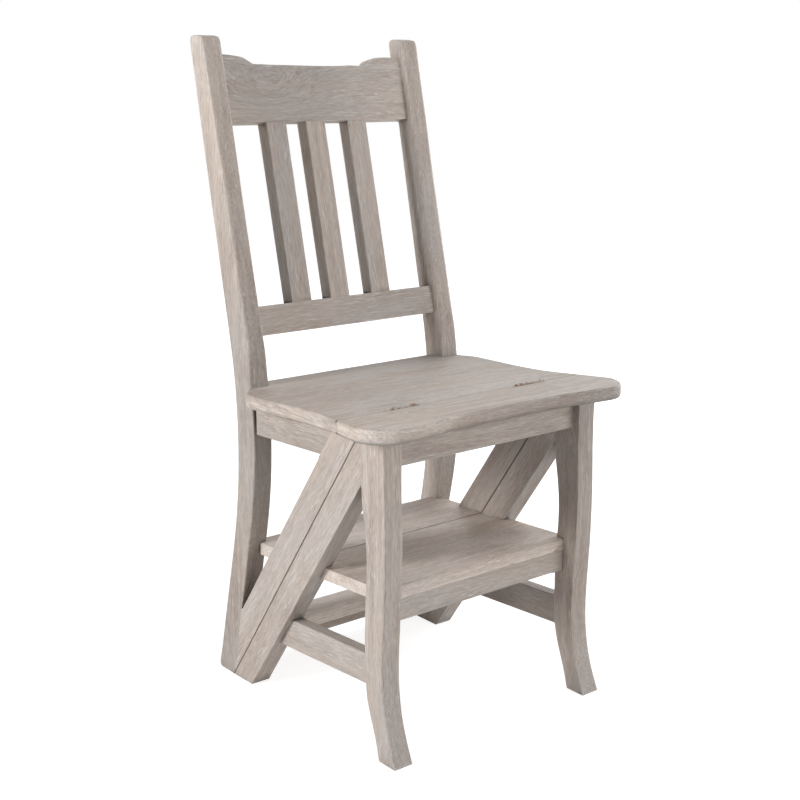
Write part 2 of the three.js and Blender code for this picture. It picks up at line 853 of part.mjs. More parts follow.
// Assembly
const frontHalf = new THREE.Group();
const rearHalf = new THREE.Group();
const chair = new THREE.Group();
chair.add(frontHalf, rearHalf);

frontHalf.add(
  named('seat_front_board', seatFrontBoard(), wood(washedWood)),
  named('front_apron', crossApron(frontApronSetback), wood(washedWood)),
  named('mid_step_front_board', midStepFrontBoard(), wood(washedWood)),
  named('mid_step_front_rail', midStepRail(), wood(washedWood)),
);
rearHalf.add(
  named('seat_rear_board', seatRearBoard(), wood(washedWood)),
  named('rear_apron', crossApron(rearApronFace), wood(washedWood)),
  named('mid_step_rear_board', midStepRearBoard(), wood(washedWood)),
  named('low_step_board', lowStepBoard(), wood(washedWood)),
  named('low_step_rail', lowStepRail(), wood(washedWood)),
  named('lower_back_rail', lowerBackRail(), wood(washedWood)),
  named('crest_rail', crestRail(), wood(washedWood)),
);
for (const [place, centre] of Object.entries(slatCentres)) {
  rearHalf.add(named(`back_slat_${place}`, backSlat(centre), wood(washedWood)));
}
for (const { name, sign } of sides) {
  frontHalf.add(
    named(`front_leg_${name}`, frontLeg(sign), wood(washedWood)),
    named(`front_stringer_${name}`, frontStringer(sign), wood(washedWood)),
    named(`side_stretcher_${name}`, sideStretcher(sign), wood(washedWood)),
    named(`hinge_front_leaf_${name}`, hingeLeaf(sign, -1), agedBrass()),
    named(`hinge_pin_${name}`, hingePin(sign), agedBrass()),
  );
  rearHalf.add(
    named(`rear_post_${name}`, rearPost(sign), wood(washedWood)),
    named(`rear_stringer_${name}`, rearStringer(sign), wood(washedWood)),
    named(`side_apron_${name}`, sideApron(sign), wood(washedWood)),
    named(`hinge_rear_leaf_${name}`, hingeLeaf(sign, 1), agedBrass()),
  );
  screwPlaces(sign).forEach((x, index) => {
    const front = named(`front_screw_${name}_${index + 1}`, screwAt(x, -1, 0), agedBrass());
    const rear = named(`rear_screw_${name}_${index + 1}`, screwAt(x, 1, 0), agedBrass());
    frontHalf.add(front);
    rearHalf.add(rear);
  });
}

// Leaned back on its feet, with the origin on the floor under the middle of the chair
chair.rotation.x = -seatPitch;
const bounds = new THREE.Box3().setFromObject(chair, true);
chair.position.set(0, -(bounds.min.y + bounds.max.y) / 2, -bounds.min.z);

const group = new THREE.Group();
group.add(chair);

export default group;
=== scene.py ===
"""Looks of the folding library-steps chair: washed hardwood with worn, softened arrises
and small aged butt hinges, on a pale studio floor."""

import json
import math
import random

import bmesh
import bpy
from mathutils import Euler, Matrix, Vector
from mathutils.bvhtree import BVHTree


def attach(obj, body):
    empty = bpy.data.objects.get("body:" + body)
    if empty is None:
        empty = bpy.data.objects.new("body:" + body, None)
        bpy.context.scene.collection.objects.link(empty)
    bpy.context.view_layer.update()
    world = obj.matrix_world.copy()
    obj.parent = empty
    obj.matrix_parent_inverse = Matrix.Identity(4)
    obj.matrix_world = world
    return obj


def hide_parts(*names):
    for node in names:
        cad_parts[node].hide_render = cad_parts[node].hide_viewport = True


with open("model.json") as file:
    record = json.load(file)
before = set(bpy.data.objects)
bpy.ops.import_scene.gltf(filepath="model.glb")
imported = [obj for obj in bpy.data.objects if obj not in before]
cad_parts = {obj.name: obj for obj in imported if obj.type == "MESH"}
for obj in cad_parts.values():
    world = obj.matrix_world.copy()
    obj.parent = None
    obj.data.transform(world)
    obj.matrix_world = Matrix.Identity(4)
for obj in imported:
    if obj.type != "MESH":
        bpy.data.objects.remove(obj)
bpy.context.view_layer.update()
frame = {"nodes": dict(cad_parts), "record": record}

MM = 0.001
SEAT_PITCH = math.radians(3.31)
BACK_RAKE = math.radians(12.35)
JOINT_RAKE = math.radians(35.05)
RIGHTWARDS = Vector((1.0, 0.0, 0.0))
UPWARDS = Vector((0.0, 0.0, 1.0))
NEGLIGIBLE = 1e-6


def nodes_of(slot):
    return [sub["node"] for sub in frame["record"]["subparts"] if sub["material_slot"] == slot]


WOOD_NODES = nodes_of("washed_wood")
METAL_NODES = nodes_of("hinge_metal")
BODY_OF = {
    node: body
    for body, nodes in frame["record"]["behaviour"]["bodies"].items()
    for node in nodes}
SEAT_BOARDS = ("seat_front_board", "seat_rear_board")
MIDDLE_BOARDS = ("mid_step_front_board", "mid_step_rear_board")
STRINGERS = ("front_stringer", "rear_stringer")
CURVED_PIECES = ("rear_post", "front_leg")

# Camera, solved from the photograph
CAMERA_PLACE = Vector((-1.3534, -1.5200, 0.9538))
CAMERA_TURN = Euler((math.radians(75.228), math.radians(-2.179), math.radians(-41.143)), "XYZ")
CAMERA_SHIFT = (0.0003, -0.001)
FOCAL_MM = 66.16
SENSOR_MM = 36.0

# Lights, each with its name, place, size and power, and the place that all of them face
LIGHT_TARGET = Vector((0.0, 0.0, 0.45))
LIGHTS = (
    ("left", (-3.2, 0.38, 1.4), (0.6, 1.5), 88),
    ("right", (3.2, 0.0, 1.2), (1.5, 1.5), 62),
    ("right_back", (2.4, 1.2, 1.6), (1.6, 1.6), 24),
    ("front_right", (1.8, -2.9, 1.4), (2.0, 2.0), 27),
    ("front_low", (-0.3, -3.2, 1.1), (1.6, 1.6), 23),
    ("top", (0.0, -0.3, 3.2), (2.4, 2.4), 16))

# Stage. The floor's glow is a range of distances from its middle and the levels at its ends
FLOOR_SIZE = 8.0
FLOOR_PLAIN = (0.82, 0.82, 0.82, 1.0)
FLOOR_SHADOWED = (0.42, 0.42, 0.42, 1.0)
FLOOR_GLOW = (0.45, 0.95, 0.84, 1.0)
SKY_WHITE = (1.0, 1.0, 1.0, 1.0)
SKY_LEVEL = 0.02

# Wood colours
BROWN = (0.330, 0.257, 0.214, 1.0)
BEIGE = (0.520, 0.459, 0.413, 1.0)
WARM = (0.500, 0.412, 0.345, 1.0)
GREY = (0.470, 0.445, 0.435, 1.0)
PALE = (0.700, 0.675, 0.650, 1.0)
# Dark brown for dirt and painted shade in the corners, for the painted shade under the seat's edge,
# and for the cuts' lines
DIRT_AND_SHADE = (0.180, 0.130, 0.100, 1.0)

# Wood patterns, each with its fineness along and across the grain, offset, detail and
# roughness. The first five follow the drifting grain lines, the others the plain grain
UNMOVED = (0.0, 0.0, 0.0)
BANDS = ((3.0, 110.0, 80.0), UNMOVED, 3.0, 0.55)
STREAKS = ((9.0, 420.0, 420.0), UNMOVED, 3.0, 0.6)
DASHES = ((36.0, 520.0, 520.0), (4.4, 2.2, 9.1), 2.0, 0.5)
FIBRES = ((60.0, 900.0, 900.0), UNMOVED, 2.0, 0.7)
PORES = ((48.0, 560.0, 560.0), (3.1, 1.7, 0.4), 1.0, 0.5)
PATCHES = ((9.0, 22.0, 22.0), (0.7, 5.0, 2.0), 3.0, 0.5)
CLOUDS = ((2.6, 9.0, 9.0), (8.0, 1.0, 3.0), 2.0, 0.5)
WARMTH = ((6.0, 30.0, 30.0), (2.0, 7.0, 4.0), 2.0, 0.5)
END_GRAIN = ((420.0, 420.0, 22.0), UNMOVED, 3.0, 0.6)
DRIFT = ((3.0, 14.0, 14.0), UNMOVED, 2.0, 0.5)

# How far the grain lines drift, and how narrow along and across and how wide a swirl is
DRIFT_WIDTH = 0.035
SWIRL_NARROWNESS = (13.0, 34.0)
SWIRL_WIDTH = 0.042

# Where a pattern passes from none to all, and how much of its colour or value it brings
BANDS_PASS = (0.33, 0.68)
CLOUDS_PASS, CLOUDS_SHARE = (0.38, 0.62), 0.6
WARMTH_PASS, WARMTH_SHARE = (0.42, 0.66), 0.40
RUBBED_PASS, RUBBED_SHARE = (0.52, 0.72), 0.42
EVENNESS = 0.45
STREAKS_SWING = 0.40
DASHES_SWING = 0.30
FIBRES_SWING = 1.05
END_GRAIN_SWING = 1.3
END_GRAIN_PASS = (0.25, 0.75)

# Wash in the pores and the corners, dirt and painted shade there too, and arrises rubbed paler
PORES_PASS, WASHED_PASS, WASH_SHARE = (0.60, 0.74), (0.36, 0.60), 0.60
CORNER_REACH, CORNER_PASS = 7 * MM, (0.45, 0.80, 1.0, 0.0)
WHITENED_PASS, RESIDUE_SHARE, DIRT_AND_SHADE_SHARE = (0.48, 0.58), 0.60, 0.30
RIDGE_REACH, RIDGE_PASS = 4 * MM, (0.50, 0.92, 1.0, 0.0)
WORN_PASS, FREE_PASS, WORN_SHARE = (0.36, 0.60), (0.15, 0.6), 0.38

# Painted shade in hollows, and the dark line of the cuts, which also draws the painted shade under
# the seat's edge, with how it thins out along the streaks
HOLLOW_REACH, HOLLOW_SHADE = 30 * MM, (0.30, 0.72, 0.72, 1.0)
LINE_PASS = (0.8 * MM, 1.9 * MM, 1.0, 0.0)
LINE_THINNING = (0.15, 0.45, 0.55, 0.92)
OCCLUSION_SAMPLES = 8

# Sheen and relief of the wood
WOOD_ROUGHNESS = (0.2, 0.8, 0.66, 0.50)
WOOD_SPECULAR = 0.35
STREAKS_HEIGHT, FIBRES_HEIGHT = 0.7, 0.4
WOOD_BUMP = (0.35, 0.6 * MM)

# Hinge metal: colours, patterns with their detail, roughness and fineness, sheen and relief
METAL_DARK = (0.150, 0.095, 0.068, 1.0)
METAL_LIGHT = (0.34, 0.23, 0.17, 1.0)
METAL_WASHED = (0.47, 0.42, 0.38, 1.0)
METAL_SPOTS, SPOTS_PASS = (3.0, 0.6, 150.0), (0.40, 0.50)
METAL_SPECKS, SPECKS_PASS = (2.0, 0.5, 900.0), (0.35, 0.66)
METAL_BARENESS = 0.5
METAL_ROUGHNESS = 0.6
METAL_BUMP = (0.3, 0.2 * MM)

# Cleaning and slicing of the meshes
WELD = 0.02 * MM
FLAT_ANGLE = math.radians(0.6)
SHARP_ANGLE = math.radians(40)
SLICE = 14 * MM
SLICE_SHIFT = 0.37
CUT_TOLERANCE = 0.0005 * MM
SAME_WAY = 0.9

# Softening of the arrises: the widest rounding, and shares of it. Those of the curved
# pieces are tables by height, for the front and the back arrises
ROUNDEST = 8.0 * MM
POST_SHARES = (
    ((0.004, 0.08), (0.03, 0.28), (0.455, 0.28), (0.50, 0.90),
     (0.70, 0.90), (0.80, 0.55), (0.875, 0.50), (0.90, 0.36)),
    ((0.004, 0.08), (0.03, 0.28)))
LEG_SHARES = (
    ((0.004, 0.08), (0.03, 0.46), (0.05, 0.46), (0.15, 0.34)),
    ((0.004, 0.08), (0.03, 0.30)))
BOARD_SHARE = 0.3
SLAT_SHARE = 0.15
TIGHT_SHARE = 0.04
INNER_SHARE = 0.5
ROUNDING_CUTS = tuple(cut * MM for cut in (0.3, 0.7, 1.3, 2.2, 3.6, 5.4, 7.2))
OUTLINE_LEAN = 0.3
BEVEL_SEGMENTS = 3
FACE_WEIGHT = 80

# Distances to the next piece, and the places along an arris where they are measured
NEAR = 2.0 * MM
TIGHT = 0.75 * NEAR
TOUCH = 0.4 * MM
ARRIS_PROBES = (0.1, 0.5, 0.9)

# Places on the cuts between the halves, in the seat and along the stringers, and how dark
# the cuts are. The seat's are a table by place in X
AXIS_PLACE = Vector((0.0, -0.14147, 0.45527))
JOINT_PLACE = Vector((0.0, -0.14923, 0.43539))
CUT_PIECES = SEAT_BOARDS + MIDDLE_BOARDS + STRINGERS
FAR_OFF = 1.0
STRINGER_SEAM_DARKNESS = 1.0
BOARD_SEAM_DARKNESS = 0.8
SEAT_SEAM_DARKNESS = (
    (-0.21, 0.30), (-0.17, 0.08), (-0.08, 0.12), (0.0, 0.40), (0.12, 0.55), (0.16, 0.95))
# Painted shade on the front apron under the seat's edge: how dark, and how many times wider than a
# cut's line
APRON_SHADE_DARKNESS = 0.85
APRON_SHADE_WIDENING = 8

# How far faces are moved to close a fixed joint, and to bring the seat's halves together
CLOSE_UP = 0.14 * MM
SEAT_CLOSE_UP = 0.33 * MM
ON_THE_SEAM = 0.6 * MM

# The seat's edge, fuller than the plain half round, by heights from the middle of the board
AXIS_ABOVE_MIDDLE = 10.3 * MM
SEAT_HALF_THICKNESS = 10.0 * MM
PLAIN_EDGE_RADIUS = 9.5 * MM
EDGE_TOP_RADIUS = 3.2 * MM
EDGE_FOOT_RADIUS = 5.0 * MM
ON_THE_EDGE = 0.45 * MM
ON_THE_RING = 0.2 * MM
HINGED_LENGTH, HINGED_DEPTH = 0.15, 0.025
# Painted shade on the front board's edge: dark towards its underside, a touch lighter above the
# middle, by height from the middle of the board
EDGE_PAINTED_SHADE = (
    (-10.0 * MM, 0.42), (-8.0 * MM, 0.58), (-5.0 * MM, 0.90),
    (-3.0 * MM, 1.0), (4.0 * MM, 1.02), (9.5 * MM, 1.0))

# The posts' faces stand a little forward of the plain form above the seat, and higher at
# the top
POST_FORWARD = ((0.455, 0.0), (0.49, 3.5 * MM))
POST_LIFT = ((0.87, 0.0), (0.90, 1.5 * MM))
FACING_FORWARD = 0.7

# The side members and the slats are a little wider than the plain form, about their middles
WIDENINGS = (
    ("rear_post", 1.07), ("front_leg", 1.07), ("front_stringer", 1.07),
    ("rear_stringer", 1.07), ("side_stretcher", 1.07), ("back_slat", 1.06))
RIGHT_LEG_OUT = 1.5 * MM

# How far the crest's top edge departs from its plain form, by place in X
CREST_TOP = 0.865
CREST_LIFTS = (
    (-0.161, 1.8 * MM), (-0.148, 0.5 * MM), (-0.134, -0.8 * MM), (-0.120, -3.5 * MM),
    (-0.112, -3.2 * MM), (-0.105, 0.2 * MM), (-0.097, 1.2 * MM), (-0.079, 0.4 * MM),
    (-0.043, -0.1 * MM), (0.008, -0.9 * MM), (0.030, -0.9 * MM), (0.053, -0.3 * MM),
    (0.072, 0.8 * MM), (0.082, 0.2 * MM), (0.092, -2.0 * MM), (0.115, -1.4 * MM),
    (0.131, -0.3 * MM))

# Tones of the pieces that aren't plain, partly their own and partly painted light and shade, at
# even steps from their low or left end to the other
PLAIN_TONES = (1.0, 1.0)
TONES_AND_PAINTED_LIGHT = {
    "rear_post_left": (0.82, 0.84, 1.15),
    "rear_post_right": (0.92, 0.97, 1.02),
    "crest_rail": (0.95, 0.92, 1.36),
    "seat_front_board": (1.20, 0.91, 0.73),
    "seat_rear_board": (1.08, 0.98, 0.72),
    "front_apron": (0.87, 0.88),
    "mid_step_front_board": (1.40, 1.34),
    "mid_step_rear_board": (1.36, 1.32),
    "low_step_board": (1.28, 1.28),
    "side_apron_left": (0.84, 0.84),
    "front_leg_left": (0.98, 1.04),
    "front_leg_right": (0.99, 0.84),
    "rear_stringer_left": (1.02, 1.02),
    "rear_stringer_right": (0.92, 0.92),
    "front_stringer_right": (0.92, 0.92),
    "side_stretcher_right": (0.68, 0.68),
    "back_slat_left": (0.94, 0.98),
    "back_slat_centre": (1.08, 1.10),
    "back_slat_right": (1.06, 1.08),
    "lower_back_rail": (1.03, 1.05),
}

# The middle of the swirl in a piece's grain, in X and Z
SWIRLS = {"crest_rail": (-0.088, 0.840)}

# How far the grain of a piece is moved at random, along and across it, and the first seed
GRAIN_SHIFT = (9, 3, 3)
SEED = 11


def add_camera():
    data = bpy.data.cameras.new("camera")
    data.sensor_width = SENSOR_MM
    data.lens = FOCAL_MM
    data.shift_x, data.shift_y = CAMERA_SHIFT
    camera = bpy.data.objects.new("camera", data)
    camera.location = CAMERA_PLACE
    camera.rotation_euler = CAMERA_TURN
    bpy.context.scene.collection.objects.link(camera)
    bpy.context.scene.camera = camera


def add_light(name, place, size, power):
    data = bpy.data.lights.new(name, "AREA")
    data.shape = "ELLIPSE"
    data.size, data.size_y = size
    data.energy = power
    light = bpy.data.objects.new(name, data)
    light.location = place
    light.rotation_euler = (LIGHT_TARGET - Vector(place)).to_track_quat("-Z", "Y").to_euler()
    bpy.context.scene.collection.objects.link(light)


class Tree:
    """The node tree of a material or a world, with short ways to add and link nodes."""

    def __init__(self, owner):
        self.owner = owner
        owner.use_nodes = True
        self.nodes = owner.node_tree.nodes
        self.links = owner.node_tree.links
        self.nodes.clear()

    def add(self, kind, inputs=None, **settings):
        node = self.nodes.new(kind)
        for key, value in settings.items():
            setattr(node, key, value)
        for key, value in (inputs or {}).items():
            if isinstance(value, bpy.types.NodeSocket):
                self.links.new(value, node.inputs[key])
            else:
                node.inputs[key].default_value = value
        return node

    def math(self, operation, a, b=0.0):
        return self.add("ShaderNodeMath", {0: a, 1: b}, operation=operation).outputs[0]

    def plus(self, a, b):
        return self.math("ADD", a, b)

    def times(self, a, b):
        return self.math("MULTIPLY", a, b)

    def swing(self, pattern, amount):
        """A pattern made to vary by an amount about nothing."""
        return self.times(self.math("SUBTRACT", pattern, 0.5), amount)

    def ramp(self, value, low, high, to_low=0.0, to_high=1.0):
        inputs = {
            "Value": value, "From Min": low, "From Max": high, "To Min": to_low, "To Max": to_high}
        node = self.add("ShaderNodeMapRange", inputs, interpolation_type="SMOOTHSTEP")
        return node.outputs["Result"]

    def split(self, vector):
        return self.add("ShaderNodeSeparateXYZ", {0: vector}).outputs

    def attribute(self, name, output="Vector"):
        return self.add("ShaderNodeAttribute", attribute_name=name).outputs[output]

    def noise(self, vector, detail, roughness, fineness=1.0):
        inputs = {"Vector": vector, "Scale": fineness, "Detail": detail, "Roughness": roughness}
        return self.add("ShaderNodeTexNoise", inputs).outputs["Fac"]

    def pattern(self, vector, fineness, offset, detail, roughness):
        inputs = {"Vector": vector, "Scale": fineness, "Location": offset}
        stretched = self.add("ShaderNodeMapping", inputs).outputs["Vector"]
        return self.noise(stretched, detail, roughness)

    def occlusion(self, reach, inside=False):
        settings = {"samples": OCCLUSION_SAMPLES, "inside": inside, "only_local": inside}
        return self.add("ShaderNodeAmbientOcclusion", {"Distance": reach}, **settings).outputs["AO"]

    def mix(self, factor, a, b):
        return self.add("ShaderNodeMix", {0: factor, 6: a, 7: b}, data_type="RGBA").outputs[2]

    def seen_directly(self):
        """1 for the camera and for reflections, 0 for the light that falls on things."""
        path = self.add("ShaderNodeLightPath").outputs
        return self.math("MAXIMUM", path["Is Camera Ray"], path["Is Glossy Ray"])

    def surface(self, height, bump, inputs):
        """Ends a material with its relief, a shader and the output."""
        strength, distance = bump
        relief = {"Strength": strength, "Distance": distance, "Height": height}
        normal = self.add("ShaderNodeBump", relief).outputs[0]
        shader = self.add("ShaderNodeBsdfPrincipled", {**inputs, "Normal": normal})
        self.add("ShaderNodeOutputMaterial", {"Surface": shader.outputs[0]})


def studio_floor():
    """White to the camera and in reflections, with a faint shadow; pale grey for its own light."""
    tree = Tree(bpy.data.materials.new("studio_floor"))
    plain = tree.add("ShaderNodeBsdfDiffuse", {"Color": FLOOR_PLAIN}).outputs[0]
    shadowed = tree.add("ShaderNodeBsdfDiffuse", {"Color": FLOOR_SHADOWED}).outputs[0]
    place = tree.add("ShaderNodeTexCoord").outputs["Object"]
    away = tree.add("ShaderNodeVectorMath", {0: place}, operation="LENGTH").outputs["Value"]
    strength = tree.ramp(away, *FLOOR_GLOW)
    glow = tree.add("ShaderNodeEmission", {"Strength": strength}).outputs[0]
    pale = tree.add("ShaderNodeAddShader", {0: shadowed, 1: glow}).outputs[0]
    mix = tree.add("ShaderNodeMixShader", {0: tree.seen_directly(), 1: plain, 2: pale})
    tree.add("ShaderNodeOutputMaterial", {"Surface": mix.outputs[0]})
    return tree.owner


def add_stage():
    tree = Tree(bpy.data.worlds.new("studio"))
    level = tree.ramp(tree.seen_directly(), 0.0, 1.0, SKY_LEVEL, 1.0)
    sky = tree.add("ShaderNodeBackground", {"Color": SKY_WHITE, "Strength": level})
    tree.add("ShaderNodeOutputWorld", {"Surface": sky.outputs[0]})
    bpy.context.scene.world = tree.owner
    bpy.ops.mesh.primitive_plane_add(size=FLOOR_SIZE, location=(0, 0, 0))
    floor = bpy.context.object
    floor.name = "floor"
    floor.data.materials.append(studio_floor())


def grain_lines(tree, grain, figure):
    """The grain with a slow drift of its lines, and a swirl that they part round."""
    split = tree.split(grain)
    along = tree.times(figure["X"], SWIRL_NARROWNESS[0])
    aside = tree.times(figure["Y"], SWIRL_NARROWNESS[1])
    reach = tree.plus(tree.times(along, along), tree.times(aside, aside))
    swirl = tree.times(tree.math("EXPONENT", tree.times(reach, -1.0)), SWIRL_WIDTH)
    drift = tree.swing(tree.pattern(grain, *DRIFT), DRIFT_WIDTH)
    across = tree.plus(tree.plus(split["Y"], drift), swirl)
    lines = tree.add("ShaderNodeCombineXYZ", {"X": split["X"], "Y": across, "Z": split["Z"]})
    return lines.outputs[0]


def washed_wood():
    """Grey-beige washed hardwood. The attribute "grain" holds metres along and across the
    grain, moved by a different amount for every piece. "figure" holds the way from a swirl
    in the grain and the board's tone, partly its own and partly painted light and shade, and
    "cut" the distance from the cut between the halves, how dark that is, and 0 for an arris
    in a joint, 1 for a free one of a piece whose grain runs along X and -1 for another's. On
    the front apron "cut" holds the painted shade under the seat's edge. "outside" is 0 on
    the cut's own faces."""
    tree = Tree(bpy.data.materials.new("washed_wood"))
    grain = tree.attribute("grain")
    figure = tree.split(tree.attribute("figure"))
    cut = tree.split(tree.attribute("cut"))
    lines = grain_lines(tree, grain, figure)
    bands, streaks, dashes, fibres, pores = (
        tree.pattern(lines, *pattern) for pattern in (BANDS, STREAKS, DASHES, FIBRES, PORES))
    patches, clouds, warmth, end_grain = (
        tree.pattern(grain, *pattern) for pattern in (PATCHES, CLOUDS, WARMTH, END_GRAIN))

    colour = tree.mix(tree.ramp(bands, *BANDS_PASS), BROWN, BEIGE)
    colour = tree.mix(tree.times(tree.ramp(clouds, *CLOUDS_PASS), CLOUDS_SHARE), colour, GREY)
    colour = tree.mix(EVENNESS, colour, BEIGE)
    colour = tree.mix(tree.times(tree.ramp(warmth, *WARMTH_PASS), WARMTH_SHARE), colour, WARM)
    colour = tree.mix(tree.times(tree.ramp(patches, *RUBBED_PASS), RUBBED_SHARE), colour, BROWN)

    # How light the wood is, with the end grain where a piece that lies along X ends, the piece's
    # tone with its painted light and shade, and painted shade in hollows
    value = tree.plus(tree.swing(streaks, STREAKS_SWING), tree.swing(dashes, DASHES_SWING))
    value = tree.plus(value, tree.swing(fibres, FIBRES_SWING))
    normal = tree.split(tree.add("ShaderNodeNewGeometry").outputs["Normal"])
    sideways = tree.ramp(tree.math("ABSOLUTE", normal["X"]), *END_GRAIN_PASS)
    ends = tree.times(sideways, tree.math("GREATER_THAN", cut["Z"], 0.0))
    value = tree.mix(ends, value, tree.swing(end_grain, END_GRAIN_SWING))
    value = tree.times(tree.plus(value, 1.0), figure["Z"])
    # Painted shade in hollows
    value = tree.times(value, tree.ramp(tree.occlusion(HOLLOW_REACH), *HOLLOW_SHADE))

    # Wash left in the corners, dirt and painted shade there too, and arrises rubbed paler
    wash = tree.times(tree.ramp(pores, *PORES_PASS), tree.ramp(patches, *WASHED_PASS))
    corners = tree.ramp(tree.occlusion(CORNER_REACH), *CORNER_PASS)
    whitened = tree.ramp(patches, *WHITENED_PASS)
    residue = tree.times(corners, whitened)
    # Darker in the corners where they are not whitened: dirt and painted shade
    dirt_and_shade = tree.times(corners, tree.math("SUBTRACT", 1.0, whitened))
    ridges = tree.ramp(tree.occlusion(RIDGE_REACH, inside=True), *RIDGE_PASS)
    worn = tree.times(ridges, tree.ramp(dashes, *WORN_PASS))
    worn = tree.times(worn, tree.ramp(tree.math("ABSOLUTE", cut["Z"]), *FREE_PASS))
    paler = tree.math("MAXIMUM", tree.times(wash, WASH_SHARE), tree.times(worn, WORN_SHARE))
    paler = tree.math("MAXIMUM", paler, tree.times(residue, RESIDUE_SHARE))
    colour = tree.mix(paler, colour, PALE)
    colour = tree.mix(tree.times(dirt_and_shade, DIRT_AND_SHADE_SHARE), colour, DIRT_AND_SHADE)
    colour = tree.add("ShaderNodeHueSaturation", {"Value": value, "Color": colour}).outputs[0]

    # The dark line of the cuts, which on the front apron is the painted shade under the seat's edge
    line_and_shade = tree.ramp(tree.math("ABSOLUTE", cut["X"]), *LINE_PASS)
    line_and_shade = tree.times(line_and_shade, tree.ramp(streaks, *LINE_THINNING))
    line_and_shade = tree.times(tree.times(line_and_shade, cut["Y"]), tree.attribute("outside", "Fac"))

    height = tree.plus(tree.times(streaks, STREAKS_HEIGHT), tree.times(fibres, FIBRES_HEIGHT))
    tree.surface(height, WOOD_BUMP, {
        "Base Color": tree.mix(line_and_shade, colour, DIRT_AND_SHADE),
        "Roughness": tree.ramp(streaks, *WOOD_ROUGHNESS),
        "Specular IOR Level": WOOD_SPECULAR})
    return tree.owner


def hinge_metal():
    """Aged brass, dark and browned, with the wash rubbed over most of it."""
    tree = Tree(bpy.data.materials.new("hinge_metal"))
    place = tree.add("ShaderNodeTexCoord").outputs["Object"]
    specks = tree.noise(place, *METAL_SPECKS)
    washed = tree.ramp(tree.noise(place, *METAL_SPOTS), *SPOTS_PASS)
    metal = tree.mix(tree.ramp(specks, *SPECKS_PASS), METAL_DARK, METAL_LIGHT)
    tree.surface(specks, METAL_BUMP, {
        "Base Color": tree.mix(washed, metal, METAL_WASHED),
        "Metallic": tree.times(tree.math("SUBTRACT", 1.0, washed), METAL_BARENESS),
        "Roughness": METAL_ROUGHNESS})
    return tree.owner


def up_the(rake):
    """The direction that leans back by a rake from square to the seat."""
    angle = rake + SEAT_PITCH
    return Vector((0.0, math.sin(angle), math.cos(angle)))


def square_to(rake):
    """The direction square to such a lean, towards the back."""
    angle = rake + SEAT_PITCH
    return Vector((0.0, math.cos(angle), -math.sin(angle)))


def grain_direction(name):
    if name.startswith(CURVED_PIECES):
        return up_the(0.0)
    if name.startswith("back_slat"):
        return up_the(BACK_RAKE)
    if name.startswith(STRINGERS):
        return up_the(-JOINT_RAKE)
    if name.startswith(("side_apron", "side_stretcher")):
        return square_to(0.0)
    return RIGHTWARDS


def along_table(table, place):
    """The value at a place in a table of places and values."""
    if place <= table[0][0]:
        return table[0][1]
    for (start, low), (end, high) in zip(table, table[1:]):
        if place <= end:
            return low + (high - low) * (place - start) / (end - start)
    return table[-1][1]


def above_middle(place):
    """Height of a place from the middle of the seat's board, square to it."""
    return (place - AXIS_PLACE).dot(up_the(0.0)) + AXIS_ABOVE_MIDDLE


def sides_of(bm):
    return min(vert.co.x for vert in bm.verts), max(vert.co.x for vert in bm.verts)


def neighbours():
    """A tree of surfaces for every node, to tell free edges from those in a joint."""
    trees = {}
    for name in WOOD_NODES + METAL_NODES:
        mesh = frame["nodes"][name].data
        points = [vert.co.copy() for vert in mesh.vertices]
        faces = [tuple(face.vertices) for face in mesh.polygons]
        low = Vector([min(point[axis] for point in points) for axis in range(3)])
        high = Vector([max(point[axis] for point in points) for axis in range(3)])
        trees[name] = (BVHTree.FromPolygons(points, faces), low, high)
    return trees


def gap_at(place, others, limit):
    """Distance from a place to the nearest other piece, up to a limit."""
    nearest = limit
    for tree, low, high in others:
        if all(low[axis] - limit <= place[axis] <= high[axis] + limit for axis in range(3)):
            found, _, _, distance = tree.find_nearest(place, limit)
            if found is not None:
                nearest = min(nearest, distance)
    return nearest


def cleaned(node):
    """The node's mesh, welded and with its flat faces merged."""
    bm = bmesh.new()
    bm.from_mesh(node.data)
    bmesh.ops.remove_doubles(bm, verts=bm.verts, dist=WELD)
    bmesh.ops.dissolve_limit(bm, angle_limit=FLAT_ANGLE, verts=bm.verts, edges=bm.edges)
    return bm


def cut_ring(bm, place, direction):
    """Cuts an edge round a piece, in the plane through a place and square to a direction."""
    geometry = bm.verts[:] + bm.edges[:] + bm.faces[:]
    bmesh.ops.bisect_plane(
        bm, geom=geometry, plane_co=place, plane_no=direction, dist=CUT_TOLERANCE)


def slice_along(bm, direction):
    """Cuts rings round the piece along its grain, so that edges and grain can follow it."""
    heights = [vert.co.dot(direction) for vert in bm.verts]
    low, high = min(heights), max(heights)
    count = max(2, round((high - low) / SLICE))
    for index in range(1, count - 1):
        share = (index + SLICE_SHIFT * math.sin(index)) / count
        cut_ring(bm, direction * (low + (high - low) * share), direction)


def edge_inset(level, radius):
    """How far a rounded edge stands back at a height from the middle of the board."""
    into = abs(level) - (SEAT_HALF_THICKNESS - radius)
    return radius - math.sqrt(max(radius ** 2 - into ** 2, 0.0)) if into > 0 else 0.0


def way_to_ring(place, ring):
    """The shortest way from a place to a ring of straight pieces, in the plane of the seat."""
    nearest = None
    for start, end in ring:
        run = end - start
        share = (place - start).dot(run) / max(run.length_squared, NEGLIGIBLE ** 2)
        away = start + run * min(max(share, 0.0), 1.0) - place
        if nearest is None or away.length < nearest.length:
            nearest = away
    return nearest


